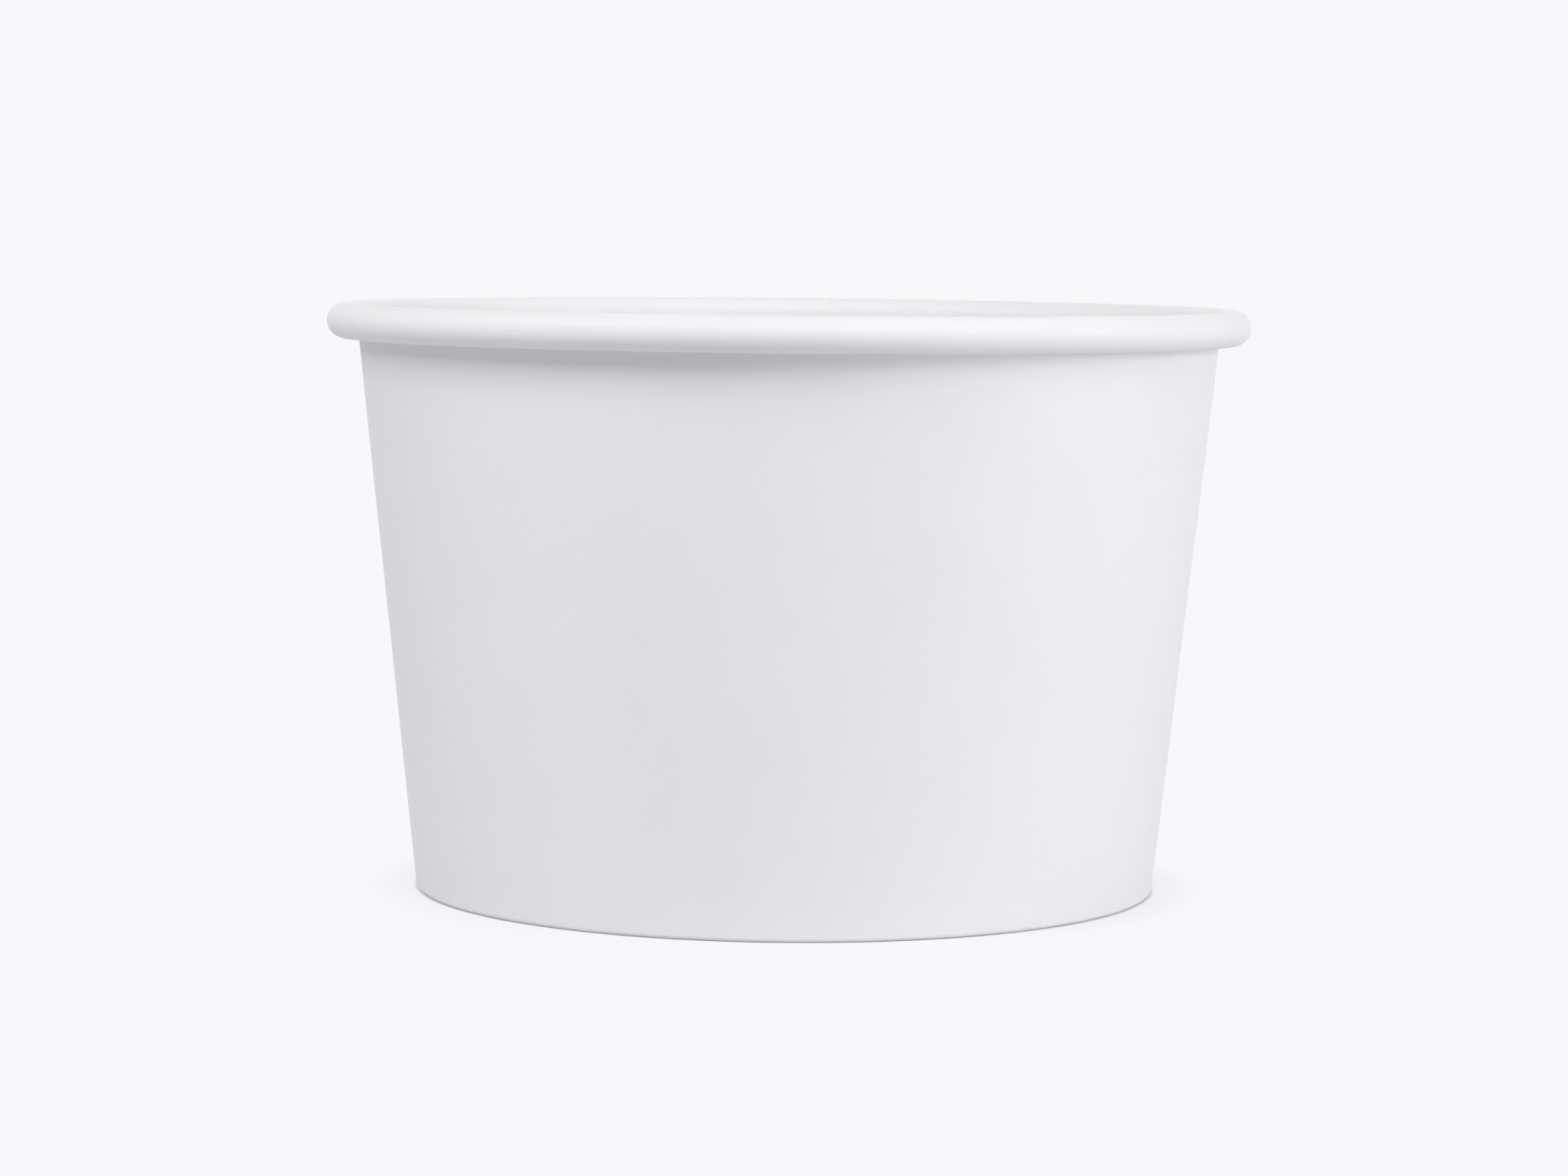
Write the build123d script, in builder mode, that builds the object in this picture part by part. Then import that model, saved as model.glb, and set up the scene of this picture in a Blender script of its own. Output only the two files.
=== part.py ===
from build123d import *
from math import asin, atan2, cos, degrees, hypot, radians, sin, tan
import os

# A paper sundae cup: one blank of coated board wrapped into a tapered wall, with a rolled rim, a
# lapped side seam and a folded foot, heat sealed round a flat bottom that has a skirt.
# Millimetres, +Z up. The origin is the centre of the foot on the table, and the seam is on +Y.

# Overall sizes
rim_diameter = 96.0  # over the rolled rim
foot_diameter = 77.25  # outside of the wall at the table
cup_height = 60.8  # table to the top of the rim

# Board of the wall and its rolled rim
wall_board = 0.50  # thickness of the coated board
roll_radius = 1.8  # outside of the roll
roll_gap = 0.12  # between the wall and the edge that comes back down beside it
tuck_radius = 1.0  # coated face of the last bend, inside the roll
tuck_angle = 70.0  # how far that last bend goes on to the raw edge

# Bottom, hem and foot
base_board = 0.42  # thickness of the bottom's board
recess_depth = 6.0  # table to the underside of the bottom
base_bevel = 0.35  # crease between the top of the bottom and the outside of its skirt
hem_gap = 0.6  # from the raw edge of the hem up to the bottom
foot_bevel = 0.25  # outer corners of the fold, pressed flat at the table

# Side seam
lap_width = 8.0  # overlap of the two edges, measured at the table
ramp_width = 2.5  # over which the upper layer climbs onto the lower one
lap_rise = 0.35  # how far the pressed upper layer stands out of the wall
edge_step = 0.2  # what can be seen of the lower layer's raw edge, inside the cup
seam_azimuth = 90.0  # middle of the overlap, in degrees from +X
layer_root = 0.35  # how far the upper layer is carried into the lower one, so that they join
ramp_sink = 0.05  # how far inside the board, or clear of it, a ramp's thin edge begins
cut_clearance = 0.3  # how far the cutter stands out of the coated face

# Each bend of the board is creased into a whole number of flats
roll_flat_count = 4  # in each quarter turn of the roll's coated face
bend_flat_count = 3  # in each quarter turn of its plain face, and in the turn back up
tuck_flat_count = 2  # in the last bend, out of sight

# The wall's line: its coated face, on the inside, runs into the roll as a tangent
foot_radius = foot_diameter / 2
roll_x = rim_diameter / 2 - roll_radius
roll_z = cup_height - roll_radius
slope_length = hypot(roll_x - foot_radius, roll_z)
lean = atan2(roll_x - foot_radius, roll_z) - asin((roll_radius - wall_board) / slope_length)
wall_side = 180 - degrees(lean)  # the direction from the roll's centre square to the wall
roll_angles = (wall_side, 90, 0, -90)

# The edge that comes back down, turns up beside the wall and is tucked into the roll
return_radius = roll_radius - (wall_board + roll_gap) / (1 + sin(lean))
return_centre = (roll_x, roll_z - roll_radius + return_radius)
return_angles = (-90, wall_side - 360)
tuck_centre = (
    return_centre[0] - (return_radius - tuck_radius) * cos(lean),
    return_centre[1] + (return_radius - tuck_radius) * sin(lean),
)
tuck_angles = (wall_side, wall_side - tuck_angle)

# The hem, and the depths and angles of the seam
root_depth = wall_board - layer_root
lap_angles = roll_angles[:3]  # the upper layer ends half way round, inside the roll
hem_depth = wall_board + base_board
hem_height = recess_depth - hem_gap
lap_angle = degrees(lap_width / foot_radius)
ramp_angle = degrees(ramp_width / foot_radius)
lap_start = seam_azimuth - lap_angle / 2


def wall_point(depth, height):
    """The point at that height whose distance inside the wall's outer face is depth."""
    return (foot_radius + height * tan(lean) - depth / cos(lean), height)


def bend_points(centre, radius, angles, flats):
    """Points on an arc that goes through the angles, in degrees, with so many flats between each."""
    turns = [
        start + (end - start) * step / flats
        for start, end in zip(angles, angles[1:])
        for step in range(flats)
    ]
    return [
        (centre[0] + radius * cos(radians(turn)), centre[1] + radius * sin(radians(turn)))
        for turn in turns + [angles[-1]]
    ]


def roll_points(depth, angles, flats):
    """Points on the roll at that depth behind its coated face."""
    return bend_points((roll_x, roll_z), roll_radius - depth, angles, flats)


def axial_plane(azimuth):
    """The upright plane through the cup's axis: local X points outwards and local Y up."""
    turn = radians(azimuth)
    return Plane(
        origin=(0, 0, 0),
        x_dir=(cos(turn), sin(turn), 0),
        z_dir=(sin(turn), -cos(turn), 0),
    )


def layer_outline(near, far, bottom, angles, flats):
    """Outline of a layer between two depths behind the coated face, which follows the wall up from
    the height of its bottom and then the roll through the angles."""
    return [
        wall_point(wall_board - near, bottom),
        *roll_points(near, angles, flats),
        *reversed(roll_points(far, angles, flats)),
        wall_point(wall_board - far, bottom + foot_bevel),
    ]


def hem_outline(rise):
    """Outline of the seam's upper layer on the recess side of the hem, rise proud of it."""
    return [
        wall_point(hem_depth + wall_board - layer_root, 0),
        wall_point(hem_depth + wall_board + rise, foot_bevel),
        wall_point(hem_depth + wall_board + rise, hem_height),
        wall_point(hem_depth + wall_board - layer_root, hem_height),
    ]


# Section of the blank: its coated face from the raw edge of the hem, round the foot, up the wall,
# round the roll and back up beside the wall to the other raw edge, and then its plain face back
coated_face = [
    wall_point(hem_depth, hem_height),
    wall_point(hem_depth, wall_board),
    wall_point(wall_board, wall_board),
    *roll_points(0, roll_angles, roll_flat_count),
    *bend_points(return_centre, return_radius, return_angles, bend_flat_count)[1:],
    *bend_points(tuck_centre, tuck_radius, tuck_angles, tuck_flat_count)[1:],
]
plain_face = [
    wall_point(hem_depth + wall_board, hem_height),
    wall_point(hem_depth + wall_board, 0),
    wall_point(0, 0),
    *roll_points(wall_board, roll_angles, bend_flat_count),
    *bend_points(return_centre, return_radius - wall_board, return_angles, bend_flat_count)[1:],
    *bend_points(tuck_centre, tuck_radius - wall_board, tuck_angles, tuck_flat_count)[1:],
]
with BuildSketch(Plane.XZ) as blank_section:
    with BuildLine():
        Polyline(*coated_face, *reversed(plain_face), close=True)
    make_face()
    chamfer(blank_section.vertices().group_by(Axis.Y)[0], foot_bevel)

with BuildPart() as side_wall:
    revolve(profiles=blank_section.sketch, axis=Axis.Z)

    # Upper layer of the seam, on the wall and inside the roll: a ramp and then the overlap
    with BuildSketch(axial_plane(lap_start - ramp_angle)) as ramp_foot:
        with BuildLine():
            Polyline(
                *layer_outline(root_depth, wall_board - ramp_sink, 0, lap_angles, bend_flat_count),
                close=True,
            )
        make_face()
    with BuildSketch(axial_plane(lap_start)) as ramp_top:
        with BuildLine():
            Polyline(
                *layer_outline(root_depth, wall_board + lap_rise, 0, lap_angles, bend_flat_count),
                close=True,
            )
        make_face()
    loft(sections=[ramp_foot.sketch, ramp_top.sketch], ruled=True)
    revolve(profiles=ramp_top.sketch, axis=Axis.Z, revolution_arc=lap_angle)

    # The same layer on the recess side of the hem
    with BuildSketch(axial_plane(lap_start - ramp_angle)) as hem_ramp_foot:
        with BuildLine():
            Polyline(*hem_outline(-ramp_sink), close=True)
        make_face()
    with BuildSketch(axial_plane(lap_start)) as hem_ramp_top:
        with BuildLine():
            Polyline(*hem_outline(lap_rise), close=True)
        make_face()
    loft(sections=[hem_ramp_foot.sketch, hem_ramp_top.sketch], ruled=True)
    revolve(profiles=hem_ramp_top.sketch, axis=Axis.Z, revolution_arc=lap_angle)

    # Raw edge of the lower layer, left standing inside the cup and round the outside of the roll
    with BuildSketch(axial_plane(lap_start - ramp_angle)) as step_foot:
        with BuildLine():
            Polyline(
                *layer_outline(-cut_clearance, -ramp_sink, recess_depth, roll_angles, roll_flat_count),
                close=True,
            )
        make_face()
    with BuildSketch(axial_plane(lap_start)) as step_top:
        with BuildLine():
            Polyline(
                *layer_outline(-cut_clearance, edge_step, recess_depth, roll_angles, roll_flat_count),
                close=True,
            )
        make_face()
    loft(sections=[step_foot.sketch, step_top.sketch], ruled=True, mode=Mode.SUBTRACT)

# Section of the bottom and its skirt, which is gripped between the wall and the hem
base_top = recess_depth + base_board
with BuildSketch(Plane.XZ) as base_section:
    with BuildLine():
        Polyline(
            (0, base_top),
            wall_point(wall_board, base_top),
            wall_point(wall_board, wall_board),
            wall_point(hem_depth, wall_board),
            wall_point(hem_depth, recess_depth),
            (0, recess_depth),
            close=True,
        )
    make_face()
    top_corner = base_section.vertices().group_by(Axis.Y)[-1].sort_by(Axis.X)[-1]
    chamfer(top_corner, base_bevel)

with BuildPart() as base_disc:
    revolve(profiles=base_section.sketch, axis=Axis.Z)

side_wall.part.label = "side_wall"
base_disc.part.label = "base_disc"

os.makedirs("parts", exist_ok=True)
export_step(side_wall.part, "parts/side_wall.step")
export_step(base_disc.part, "parts/base_disc.step")
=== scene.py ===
import math

import bpy
import numpy as np
from mathutils import Matrix


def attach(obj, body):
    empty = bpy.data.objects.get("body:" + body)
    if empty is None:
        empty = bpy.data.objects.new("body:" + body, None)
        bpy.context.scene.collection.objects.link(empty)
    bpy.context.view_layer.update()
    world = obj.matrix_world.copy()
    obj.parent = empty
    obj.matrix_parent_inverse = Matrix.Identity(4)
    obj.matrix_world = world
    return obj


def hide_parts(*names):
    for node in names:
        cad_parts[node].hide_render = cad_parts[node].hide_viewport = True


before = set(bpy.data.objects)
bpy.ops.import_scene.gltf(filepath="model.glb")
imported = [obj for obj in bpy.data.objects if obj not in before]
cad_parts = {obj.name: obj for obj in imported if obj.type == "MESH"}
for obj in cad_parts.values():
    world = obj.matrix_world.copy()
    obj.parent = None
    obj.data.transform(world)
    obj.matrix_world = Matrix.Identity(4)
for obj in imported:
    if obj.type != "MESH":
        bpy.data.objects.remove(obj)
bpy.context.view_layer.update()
print("solids loaded")


# Helpers

def hexToLinear(text):
    # an sRGB hex colour as linear red, green, blue and alpha
    values = [int(text[i:i + 2], 16) / 255 for i in (1, 3, 5)]
    return [v / 12.92 if v <= 0.04045 else ((v + 0.055) / 1.055) ** 2.4 for v in values] + [1.0]


def addNode(tree, kind, settings=None, links=None):
    # one shader node: settings go to its properties or sockets, and links are {socket: output}
    node = tree.nodes.new(kind)
    for key, value in (settings or {}).items():
        if isinstance(key, str) and hasattr(node, key):
            setattr(node, key, value)
        else:
            node.inputs[key].default_value = value
    for key, output in (links or {}).items():
        tree.links.new(output, node.inputs[key])
    return node


def newMaterial(name):
    material = bpy.data.materials.new(name)
    material.use_nodes = True
    material.node_tree.nodes.clear()
    return material, material.node_tree


sharpAngle = 35  # degrees


def makePiece(name, points, faceSets, materials):
    # points in mm; faceSets as (rows of three or four corners, material number); smooth, except
    # over edges sharper than sharpAngle
    sizes = np.concatenate([np.full(len(rows), rows.shape[1]) for rows, kind in faceSets])
    kinds = np.concatenate([np.full(len(rows), kind) for rows, kind in faceSets])
    corners = np.concatenate([rows.ravel() for rows, kind in faceSets])
    mesh = bpy.data.meshes.new(name)
    mesh.vertices.add(len(points))
    mesh.vertices.foreach_set("co", (points / 1000).astype(np.float32).ravel())
    mesh.loops.add(len(corners))
    mesh.loops.foreach_set("vertex_index", corners.astype(np.int32))
    mesh.polygons.add(len(sizes))
    mesh.polygons.foreach_set("loop_start", (np.cumsum(sizes) - sizes).astype(np.int32))
    for material in materials:
        mesh.materials.append(material)
    mesh.polygons.foreach_set("material_index", kinds.astype(np.int32))
    mesh.update(calc_edges=True)
    mesh.validate()
    mesh.shade_smooth()
    mesh.set_sharp_from_angle(angle=math.radians(sharpAngle))
    piece = bpy.data.objects.new(name, mesh)
    bpy.context.scene.collection.objects.link(piece)
    return piece


def gridFaces(rows, columns, first=0, flip=False):
    # the quads of a grid of points, numbered row by row from first
    ids = first + np.arange(rows * columns).reshape(rows, columns)
    quads = np.stack([ids[:-1, :-1], ids[:-1, 1:], ids[1:, 1:], ids[1:, :-1]], axis=-1).reshape(-1, 4)
    return quads[:, ::-1] if flip else quads


# Side wall: one sheet of board, wrapped once round and lapped at the back

wall = {  # lengths in mm, angles in degrees
    "rimDiameter": 96.0, "footDiameter": 77.25, "height": 60.8,
    "board": 0.50, "skirtBoard": 0.42,
    "rollRadius": 1.8, "rollGap": 0.12,  # the rim's roll, and its gap where it comes back to the wall
    "tuckRadius": 1.05, "tuckAngle": 70,  # the sheet's last turn, inside the roll
    "foldRadius": 0.45, "creaseRadius": 0.02, "hemHeight": 5.4,  # the foot's fold, outside and inside
    "foldClear": 0.1, "rollClear": 0.3,  # the straight runs stop this far short of fold and roll
    "footClearance": 0.03,  # the upper layer's foot at the lap, above the lower one's
    "lapWidth": 8.0, "rampWidth": 2.5, "lapRise": 0.35, "seamAt": 90,
    # from one height to the other the lap's rise drops to a share of itself, as the roll is pressed
    "rimLapShare": 0.2, "rimLapFrom": 54.0, "rimLapTo": 57.5,
    "rimWave": 0.04, "rimLobes": 2, "rimTurn": 0.7,  # how far the rim strays from a circle, and where
    "wallWave": 0.03,  # how far the wall strays from a true cone, at most
    "ripples": [(0.5, 3, 4.1, 0), (0.3, 7, -5.3, 1), (0.2, 11, 9.7, 2)],  # share, lobes, twist, start
    # the hem's ribs: how many, how deep, and the band they stand in
    "knurls": 100, "knurlHeight": 0.2, "knurlFrom": 1.29, "knurlTo": 4.81, "knurlFade": 0.6,
    "hemRows": 9, "foldRows": 7, "wallRows": 22, "rollRows": 31, "returnRows": 11, "tuckRows": 8,
    "columns": 397,  # once round, four to a rib
    "rampColumns": 12, "lapColumns": 14,
}
footRadius = wall["footDiameter"] / 2
rollX = wall["rimDiameter"] / 2 - wall["rollRadius"]
rollZ = wall["height"] - wall["rollRadius"]
# radians from upright, so that the wall's outer face runs on into the roll's plain side
lean = math.atan2(rollX - footRadius, rollZ) - math.asin(
    (wall["rollRadius"] - wall["board"]) / math.hypot(rollX - footRadius, rollZ))


def wallPoint(depth, height):
    # radius and height of the point that lies depth inside the wall's outer face
    return np.array([footRadius + height * math.tan(lean) - depth / math.cos(lean), height])


def arcPoints(centre, radius, fromAngle, toAngle, count):
    # centre + radius * (cos a, sin a), with a going evenly from one angle to the other
    a = np.radians(np.linspace(fromAngle, toAngle, count))
    return np.array(centre) + radius * np.stack([np.cos(a), np.sin(a)], axis=1)


def linePoints(start, end, count):
    return np.array(start) + np.linspace(0, 1, count)[:, None] * (np.array(end) - np.array(start))


def cornerPoints(corner, before, after, radius, count):
    # a corner rounded with an arc that touches both of its lines
    u = (before - corner) / np.linalg.norm(before - corner)
    v = (after - corner) / np.linalg.norm(after - corner)
    half = math.acos(float(np.clip(u @ v, -1, 1))) / 2
    middle = corner + (u + v) / np.linalg.norm(u + v) * radius / math.sin(half)
    first = np.degrees(np.arctan2(*(corner + u * radius / math.tan(half) - middle)[::-1]))
    last = np.degrees(np.arctan2(*(corner + v * radius / math.tan(half) - middle)[::-1]))
    turn = (last - first + 180) % 360 - 180
    return arcPoints(middle, radius, first, first + turn, count)


def wallLine(offset):
    # one face of the sheet in section, as rows of (radius, height): up the hem's face, round the
    # foot, up the wall, round the roll, back up beside the wall and on inside the roll.
    # offset is 0 for the coated face and the board's thickness for the plain one.
    board, grip = wall["board"], wall["skirtBoard"]
    hemDepth = board + grip + offset
    wallDepth = board - offset
    foot = board - offset
    corner = max(wall["foldRadius"] * offset / board, wall["creaseRadius"])
    leanDegrees = math.degrees(lean)
    hemTop = wallPoint(hemDepth, wall["hemHeight"])
    hemFoot = wallPoint(hemDepth, foot)
    wallFoot = wallPoint(wallDepth, foot)
    reach = wall["rollRadius"] - offset
    rollStart = np.array([rollX - reach * math.cos(lean), rollZ + reach * math.sin(lean)])
    returnRadius = wall["rollRadius"] - (board + wall["rollGap"]) / (1 + math.sin(lean))
    returnCentre = np.array([rollX, rollZ - wall["rollRadius"] + returnRadius])
    across = np.array([-math.cos(lean), math.sin(lean)])
    tuckCentre = returnCentre + across * (returnRadius - wall["tuckRadius"])
    clear = foot + wall["foldRadius"] + wall["foldClear"]
    upTheWall = np.array([math.sin(lean), math.cos(lean)])
    return np.concatenate([
        linePoints(hemTop, wallPoint(hemDepth, clear), wall["hemRows"]),
        cornerPoints(hemFoot, hemTop, wallFoot, corner, wall["foldRows"]),
        cornerPoints(wallFoot, hemFoot, rollStart, corner, wall["foldRows"]),
        linePoints(wallPoint(wallDepth, clear), rollStart - wall["rollClear"] * upTheWall,
                   wall["wallRows"]),
        arcPoints([rollX, rollZ], reach, 180 - leanDegrees, -90, wall["rollRows"]),
        arcPoints(returnCentre, returnRadius - offset, -90, -180 - leanDegrees, wall["returnRows"])[1:],
        arcPoints(tuckCentre, wall["tuckRadius"] - offset, 180 - leanDegrees,
                  180 - leanDegrees - wall["tuckAngle"], wall["tuckRows"])[1:],
    ])


def wallColumns():
    # azimuth in degrees and lift in mm of each column: once round from the lower layer's raw edge,
    # then up a ramp and over that edge as the upper layer
    lap = math.degrees(wall["lapWidth"] / footRadius)
    ramp = math.degrees(wall["rampWidth"] / footRadius)
    start = wall["seamAt"] - lap / 2
    azimuth = np.concatenate([
        np.linspace(start, start + 360 - ramp, wall["columns"]),
        np.linspace(start + 360 - ramp, start + 360, wall["rampColumns"])[1:],
        np.linspace(start + 360, start + 360 + lap, wall["lapColumns"])[1:],
    ])
    climb = np.clip((azimuth - (start + 360 - ramp)) / ramp, 0, 1)
    return azimuth, wall["lapRise"] * climb ** 2 * (3 - 2 * climb)


def sheetNormals(line):
    # unit normals of a section line, to its plain side
    along = np.gradient(line, axis=0)
    along /= np.linalg.norm(along, axis=1)[:, None]
    return np.stack([along[:, 1], -along[:, 0]], axis=1)


def knurls(heights, turns):
    # how far the hem's pressed ribs move its face, fading out at the band's two ends
    foot = np.clip((heights - wall["knurlFrom"]) / wall["knurlFade"], 0, 1)
    head = np.clip((wall["knurlTo"] - heights) / wall["knurlFade"], 0, 1)
    onHem = np.arange(len(heights))[:, None] < wall["hemRows"]
    return wall["knurlHeight"] / 2 * foot * head * onHem * np.sin(wall["knurls"] * turns)


def makeSideWall(boardMaterial, edgeMaterial):
    # a point of the sheet is (r cos a, r sin a, z), where (r, z) is the section line moved towards
    # its plain side by the column's lift. With h from 0 at the foot to 1 at the rim, r strays by
    # rimWave * h * sin(rimLobes * a + rimTurn), and by wallWave * sin(pi * h) times the sum of the
    # ripples, each share * sin(lobes * a + twist * h + start).
    # The lift dies away by 3 t^2 - 2 t^3 towards the roll, which is pressed nearly flat. The hem's
    # plain face, inside the foot, is knurled: r gets half the ribs' height * sin(knurls * a).
    azimuth, lift = wallColumns()
    coated, plain = wallLine(0), wallLine(wall["board"])
    normals = sheetNormals(coated)
    t = np.clip((coated[:, 1] - wall["rimLapFrom"]) / (wall["rimLapTo"] - wall["rimLapFrom"]), 0, 1)
    normals *= (1 - (1 - wall["rimLapShare"]) * t ** 2 * (3 - 2 * t))[:, None]
    turns = np.radians(azimuth)
    faces, points = [], []
    rows, columns = len(coated), len(azimuth)
    for line in (coated, plain):
        section = line[:, None, :] + normals[:, None, :] * lift[None, :, None]
        # the upper layer's foot is pressed flat, and ends just clear of the lower layer's
        section[..., 1] = np.maximum(section[..., 1], wall["footClearance"] * lift / wall["lapRise"])
        high = np.clip(section[..., 1] / wall["height"], 0, 1)
        rimWave = np.sin(wall["rimLobes"] * turns + wall["rimTurn"]) * wall["rimWave"] * high
        ripple = sum(share * np.sin(lobes * turns + twist * high + start)
                     for share, lobes, twist, start in wall["ripples"])
        r = section[..., 0] + (rimWave + wall["wallWave"] * np.sin(np.pi * high) * ripple)
        if line is plain:
            r += knurls(section[..., 1], turns)
        grid = np.stack([r * np.cos(turns), r * np.sin(turns), section[..., 1]], axis=-1)
        points.append(grid.reshape(-1, 3))
    count = rows * columns
    faces.append((gridFaces(rows, columns, 0, flip=True), 0))
    faces.append((gridFaces(rows, columns, count), 0))
    ids = np.arange(count).reshape(rows, columns)
    for edge, flip in ((ids[0, :], False), (ids[-1, :], True), (ids[:, 0], True), (ids[:, -1], False)):
        strip = np.stack([edge[:-1], edge[1:], edge[1:] + count, edge[:-1] + count], axis=1)
        faces.append((strip[:, ::-1] if flip else strip, 1))
    return makePiece("sideWall", np.concatenate(points), faces, [boardMaterial, edgeMaterial])


# Bottom: a disc whose edge is turned down as a skirt

base = {  # mm
    "board": 0.42, "bend": 0.7,  # thickness, and the corner's outer radius
    "top": 6.42, "skirtEnd": 0.5,  # heights of the disc's edge and of the skirt's raw edge
    "dish": 0.12,  # how far the middle sags
    "hub": 1.0,  # radius of the innermost ring, which a fan of triangles closes
    "bendClear": 0.3, "skirtClear": 0.3,  # last short rows before the bend and the skirt's edge
    "topRows": 16, "bendRows": 9, "skirtRows": 3, "columns": 240,
}


def makeBaseDisc(boardMaterial, edgeMaterial):
    # (r cos a, r sin a, z) round a closed section: out along the top, down the skirt, and back up
    # inside it and in along the underside. The disc sags by dish * (1 - (r / edge) ** 2).
    top, board = base["top"], base["board"]
    outTop, outFoot = wallPoint(wall["board"], top), wallPoint(wall["board"], base["skirtEnd"])
    inTop = wallPoint(wall["board"] + board, top - board)
    inFoot = wallPoint(wall["board"] + board, base["skirtEnd"])
    edge = outTop[0] - base["bend"]
    lastRun = base["skirtClear"] * np.array([math.tan(lean), 1])
    runs = []
    for level, corner, foot, radius in ((top, outTop, outFoot, base["bend"]),
                                        (top - board, inTop, inFoot, base["bend"] - board)):
        runs.append(np.concatenate([
            linePoints([base["hub"], level], [edge - base["bendClear"], level], base["topRows"]),
            cornerPoints(corner, np.array([0, level]), foot, radius, base["bendRows"]),
            linePoints(foot + lastRun, foot, base["skirtRows"]),
        ]))
    outer, inner = runs
    section = np.concatenate([outer, inner[::-1]])
    section[:, 1] -= base["dish"] * np.clip(1 - (section[:, 0] / edge) ** 2, 0, 1)
    turns = np.linspace(0, 2 * math.pi, base["columns"], endpoint=False)
    r, z = section[:, :1], section[:, 1:]
    rings = np.stack([r * np.cos(turns), r * np.sin(turns), z + 0 * turns], axis=-1)
    rows, columns = rings.shape[:2]
    poles = [[0, 0, section[0, 1]], [0, 0, section[-1, 1]]]
    points = np.concatenate([rings.reshape(-1, 3), poles])
    ids = np.arange(rows * columns).reshape(rows, columns)
    ids = np.concatenate([ids, ids[:, :1]], axis=1)  # the last column joins the first
    quads = np.stack([ids[:-1, :-1], ids[1:, :-1], ids[1:, 1:], ids[:-1, 1:]], axis=-1)
    raw = len(outer) - 1  # the strip across the skirt's raw edge
    upperPole = np.stack([ids[0, :-1], ids[0, 1:], np.full(columns, rows * columns)], axis=1)
    lowerPole = np.stack([ids[-1, 1:], ids[-1, :-1], np.full(columns, rows * columns + 1)], axis=1)
    faces = [(quads[:raw].reshape(-1, 4), 0), (quads[raw], 1), (quads[raw + 1:].reshape(-1, 4), 0),
             (upperPole, 0), (lowerPole, 0)]
    return makePiece("baseDisc", points, faces, [boardMaterial, edgeMaterial])


# Materials

paper = {
    "light": "#F3F3F4", "shade": "#EFEFF1",  # the board's white, and its slow mottle
    "roughness": 0.5, "gloss": 0.25,  # the film reflects half as much as a clear plastic would
    "pulp": "#EDEBE6",  # the bare fibres of a cut edge
    "mottle": 9.0, "fibre": 0.55, "grain": 0.16,  # mm, size of each pattern
    "bump": 0.010, "edgeBump": 0.03,  # mm, height of the fibres under the film and on a cut edge
}


def coatedPaperboard():
    # bleached paperboard under a thin film of extruded polythene: a cool white with a soft satin
    # sheen, the fibres barely felt through the film
    material, tree = newMaterial("coatedPaperboard")
    place = addNode(tree, "ShaderNodeTexCoord")
    mottle = addNode(tree, "ShaderNodeTexNoise",
                     {"Scale": 1000 / paper["mottle"], "Detail": 3.0, "Roughness": 0.6},
                     {"Vector": place.outputs["Object"]})
    # sockets 6 and 7 of a colour mix are its two colours
    tint = addNode(tree, "ShaderNodeMix",
                   {"data_type": "RGBA", 6: hexToLinear(paper["light"]), 7: hexToLinear(paper["shade"])},
                   {0: mottle.outputs["Fac"]})
    fibre = addNode(tree, "ShaderNodeTexNoise",
                    {"Scale": 1000 / paper["fibre"], "Detail": 4.0, "Roughness": 0.65},
                    {"Vector": place.outputs["Object"]})
    relief = addNode(tree, "ShaderNodeBump", {"Strength": 0.6, "Distance": paper["bump"] / 1000},
                     {"Height": fibre.outputs["Fac"]})
    skin = addNode(tree, "ShaderNodeBsdfPrincipled",
                   {"Roughness": paper["roughness"], "IOR": 1.5, "Specular IOR Level": paper["gloss"]},
                   {"Base Color": tint.outputs[2], "Normal": relief.outputs["Normal"]})
    addNode(tree, "ShaderNodeOutputMaterial", None, {"Surface": skin.outputs["BSDF"]})
    return material


def cutBoardEdge():
    # the die-cut edge of the board: bare fibres with no film, matt and a little warmer
    material, tree = newMaterial("cutBoardEdge")
    place = addNode(tree, "ShaderNodeTexCoord")
    fibre = addNode(tree, "ShaderNodeTexNoise",
                    {"Scale": 1000 / paper["grain"], "Detail": 3.0, "Roughness": 0.7},
                    {"Vector": place.outputs["Object"]})
    relief = addNode(tree, "ShaderNodeBump", {"Strength": 0.8, "Distance": paper["edgeBump"] / 1000},
                     {"Height": fibre.outputs["Fac"]})
    pulp = addNode(tree, "ShaderNodeBsdfPrincipled",
                   {"Base Color": hexToLinear(paper["pulp"]), "Roughness": 0.9},
                   {"Normal": relief.outputs["Normal"]})
    addNode(tree, "ShaderNodeOutputMaterial", None, {"Surface": pulp.outputs["BSDF"]})
    return material


coatedBoard, cutEdge = coatedPaperboard(), cutBoardEdge()
sideWall = makeSideWall(coatedBoard, cutEdge)
baseDisc = makeBaseDisc(coatedBoard, cutEdge)
for piece, node, slotName in ((sideWall, "side_wall", "wall_board"),
                              (baseDisc, "base_disc", "base_board")):
    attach(piece, "root")
    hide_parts(node)
print("cup made:", len(sideWall.data.polygons), "and", len(baseDisc.data.polygons), "faces")


# Studio: a pale floor, soft lamps and a plain background

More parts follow.
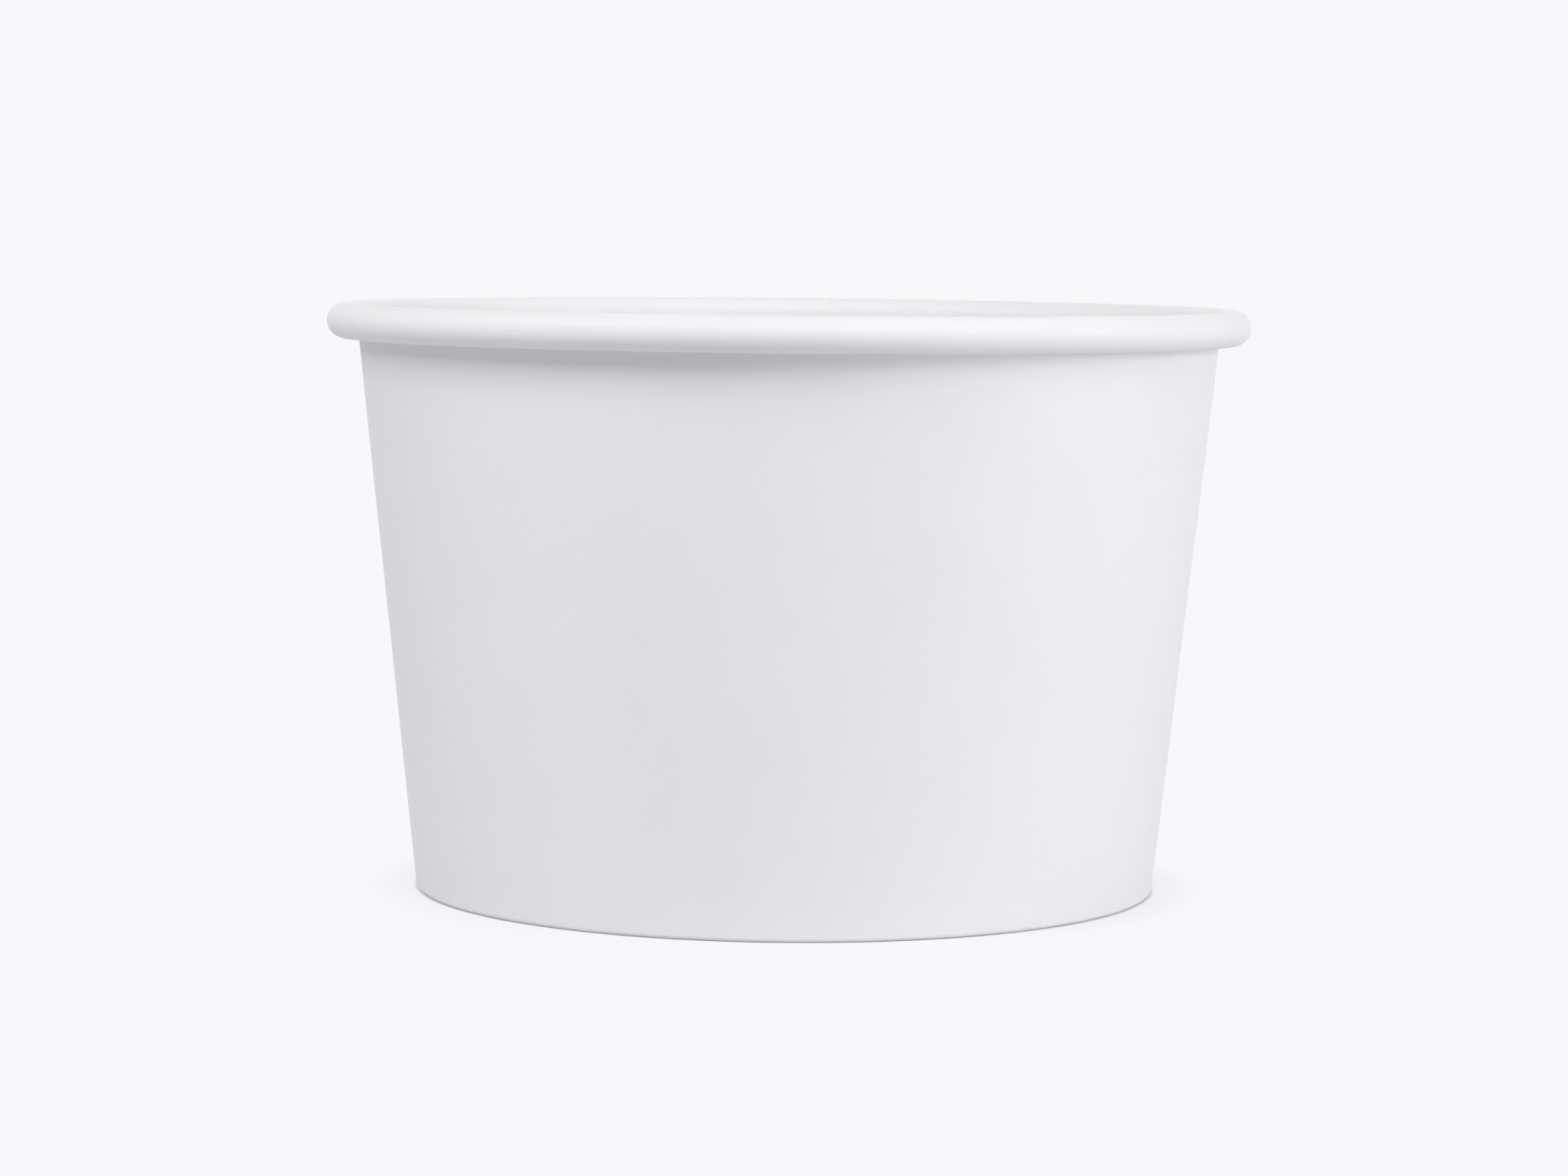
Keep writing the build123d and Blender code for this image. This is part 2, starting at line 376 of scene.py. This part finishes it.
studio = {
    "background": "#F8F7FA",
    "floorSize": 6000.0, "floorDrop": 0.02,  # mm, its side, and how far it lies below the foot
    "floorWhite": "#D4D4D6", "openLevel": 0.75,  # its own white, and how light it lies in the open
    "shadowShare": 0.35, "fadeFrom": 0.0385, "fadeTo": 0.045,  # m, where the floor's shadows fade out
    "creaseShare": 1.25, "creaseFrom": 0.0386, "creaseTo": 0.0391,  # m, the crease under the foot
    "sky": "#FDFDFF", "skyLevel": 0.17,
    "target": (0, 0, 0.03),  # m, what the lamps face
    "lamps": {  # azimuth from the front and elevation in degrees, distance and size in m, watts
        "keySoftbox": (-57, 43, 1.0, 0.52, 4.7),
        "leftSoftbox": (-80, 8, 1.0, 0.3, 0.26),
        "rightSoftbox": (74, 12, 1.0, 0.5, 4.65),
        "frontSoftbox": (5, 42, 1.0, 0.5, 2.43),
        "upperSoftbox": (30, 35, 1.0, 0.4, 0.85),
        "backSoftbox": (180, 16, 1.0, 0.3, 1.9),
        "highBackSoftbox": (180, 48, 1.0, 0.6, 0.6),
    },
}


def directSight(tree):
    # two outputs that are 1 or 0: whether a ray comes straight from the camera, and whether it
    # comes from there at all, straight or by way of gloss or glass
    path = addNode(tree, "ShaderNodeLightPath")
    seen = addNode(tree, "ShaderNodeMath", {"operation": "MAXIMUM"},
                   {0: path.outputs["Is Camera Ray"], 1: path.outputs["Is Glossy Ray"]})
    seen = addNode(tree, "ShaderNodeMath", {"operation": "MAXIMUM"},
                   {0: seen.outputs[0], 1: path.outputs["Is Transmission Ray"]})
    return path.outputs["Is Camera Ray"], seen.outputs[0]


def makeFloor():
    # what the camera sees is the background less a share of what the shadows take away:
    # background * (1 - share * openLevel) + share * lit floor. The share is creaseShare in the crease
    # under the foot, shadowShare just outside it, and fades outwards from there. Gloss sees the plain
    # background, and every other ray the lit floor.
    half, drop = studio["floorSize"] / 2, studio["floorDrop"]
    points = np.array([[-half, -half, -drop], [half, -half, -drop], [half, half, -drop],
                       [-half, half, -drop]])
    material, tree = newMaterial("paleFloor")
    place = addNode(tree, "ShaderNodeTexCoord")
    reach = addNode(tree, "ShaderNodeVectorMath", {"operation": "LENGTH"}, {0: place.outputs["Object"]})
    # sockets 1 and 2 of a map range are the limits of what comes in, and 3 and 4 of what goes out
    fade = addNode(tree, "ShaderNodeMapRange",
                   {"interpolation_type": "SMOOTHSTEP", 1: studio["fadeFrom"], 2: studio["fadeTo"],
                    3: studio["shadowShare"], 4: 0.0},
                   {0: reach.outputs["Value"]})
    crease = addNode(tree, "ShaderNodeMapRange",
                     {1: studio["creaseFrom"], 2: studio["creaseTo"], 3: studio["creaseShare"], 4: 0.0},
                     {0: reach.outputs["Value"]})
    deepest = addNode(tree, "ShaderNodeMath", {"operation": "MAXIMUM"},
                      {0: fade.outputs[0], 1: crease.outputs[0]})
    fromCamera, seen = directSight(tree)
    share = addNode(tree, "ShaderNodeMath", {"operation": "MULTIPLY"},
                    {0: deepest.outputs[0], 1: fromCamera})
    taken = addNode(tree, "ShaderNodeMath", {"operation": "MULTIPLY", 1: studio["openLevel"]},
                    {0: share.outputs[0]})
    glow = addNode(tree, "ShaderNodeMath", {"operation": "SUBTRACT"}, {0: seen, 1: taken.outputs[0]})
    rest = addNode(tree, "ShaderNodeMath", {"operation": "SUBTRACT", 0: 1.0}, {1: seen})
    own = addNode(tree, "ShaderNodeMath", {"operation": "ADD"}, {0: rest.outputs[0], 1: share.outputs[0]})
    tone = addNode(tree, "ShaderNodeVectorMath",
                   {"operation": "SCALE", 0: hexToLinear(studio["floorWhite"])[:3]},
                   {"Scale": own.outputs[0]})
    lit = addNode(tree, "ShaderNodeBsdfDiffuse", None, {"Color": tone.outputs[0]})
    plain = addNode(tree, "ShaderNodeEmission", {"Color": hexToLinear(studio["background"])},
                    {"Strength": glow.outputs[0]})
    both = addNode(tree, "ShaderNodeAddShader", None, {0: lit.outputs[0], 1: plain.outputs[0]})
    addNode(tree, "ShaderNodeOutputMaterial", None, {"Surface": both.outputs[0]})
    floor = makePiece("floor", points, [(np.array([[0, 1, 2, 3]]), 0)], [material])


def makeSky():
    # plain white light from all round; what the camera and the gloss see is the background colour
    world = bpy.data.worlds.new("studioWhite")
    bpy.context.scene.world = world
    world.use_nodes = True
    tree = world.node_tree
    tree.nodes.clear()
    seen = directSight(tree)[1]
    light = addNode(tree, "ShaderNodeBackground",
                    {"Color": hexToLinear(studio["sky"]), "Strength": studio["skyLevel"]})
    plain = addNode(tree, "ShaderNodeBackground",
                    {"Color": hexToLinear(studio["background"]), "Strength": 1.0})
    both = addNode(tree, "ShaderNodeMixShader", None,
                   {0: seen, 1: light.outputs[0], 2: plain.outputs[0]})
    addNode(tree, "ShaderNodeOutputWorld", None, {"Surface": both.outputs[0]})


def makeLamp(name, azimuth, elevation, distance, size, watts):
    # a square softbox that faces the target
    lamp = bpy.data.lights.new(name, "AREA")
    lamp.shape, lamp.size, lamp.energy = "SQUARE", size, watts
    holder = bpy.data.objects.new(name, lamp)
    a, e = math.radians(azimuth), math.radians(elevation)
    way = np.array([math.sin(a) * math.cos(e), -math.cos(a) * math.cos(e), math.sin(e)])
    holder.location = np.array(studio["target"]) + distance * way
    holder.rotation_euler = (math.pi / 2 - e, 0, a)
    bpy.context.scene.collection.objects.link(holder)


makeFloor()
makeSky()
for lampName, values in studio["lamps"].items():
    makeLamp(lampName, *values)
bpy.data.objects["backSoftbox"].visible_glossy = False  # no glint of it on the rim
print("studio lit")


# Camera: in front of the cup, a little above its rim, looking slightly down

camera = {
    "distance": 0.4574, "height": 0.06974,  # m, from the cup's axis and above the floor
    "down": 0.0840, "aside": 0.0006, "roll": 0.0097,  # radians
    "lens": 100.37, "sensor": 36.0,  # mm
    "clipFrom": 0.01, "clipTo": 50,  # m
}
eye = bpy.data.cameras.new("camera")
eye.lens, eye.sensor_width = camera["lens"], camera["sensor"]
eye.clip_start, eye.clip_end = camera["clipFrom"], camera["clipTo"]
cameraHolder = bpy.data.objects.new("camera", eye)
stand = Matrix.Translation((0, -camera["distance"], camera["height"]))
aim = Matrix.Rotation(camera["aside"], 4, "Z") @ Matrix.Rotation(math.pi / 2 - camera["down"], 4, "X")
cameraHolder.matrix_world = stand @ aim @ Matrix.Rotation(camera["roll"], 4, "Z")
bpy.context.scene.collection.objects.link(cameraHolder)
bpy.context.scene.camera = cameraHolder
bpy.context.scene.view_settings.view_transform = "Standard"

print("camera set")
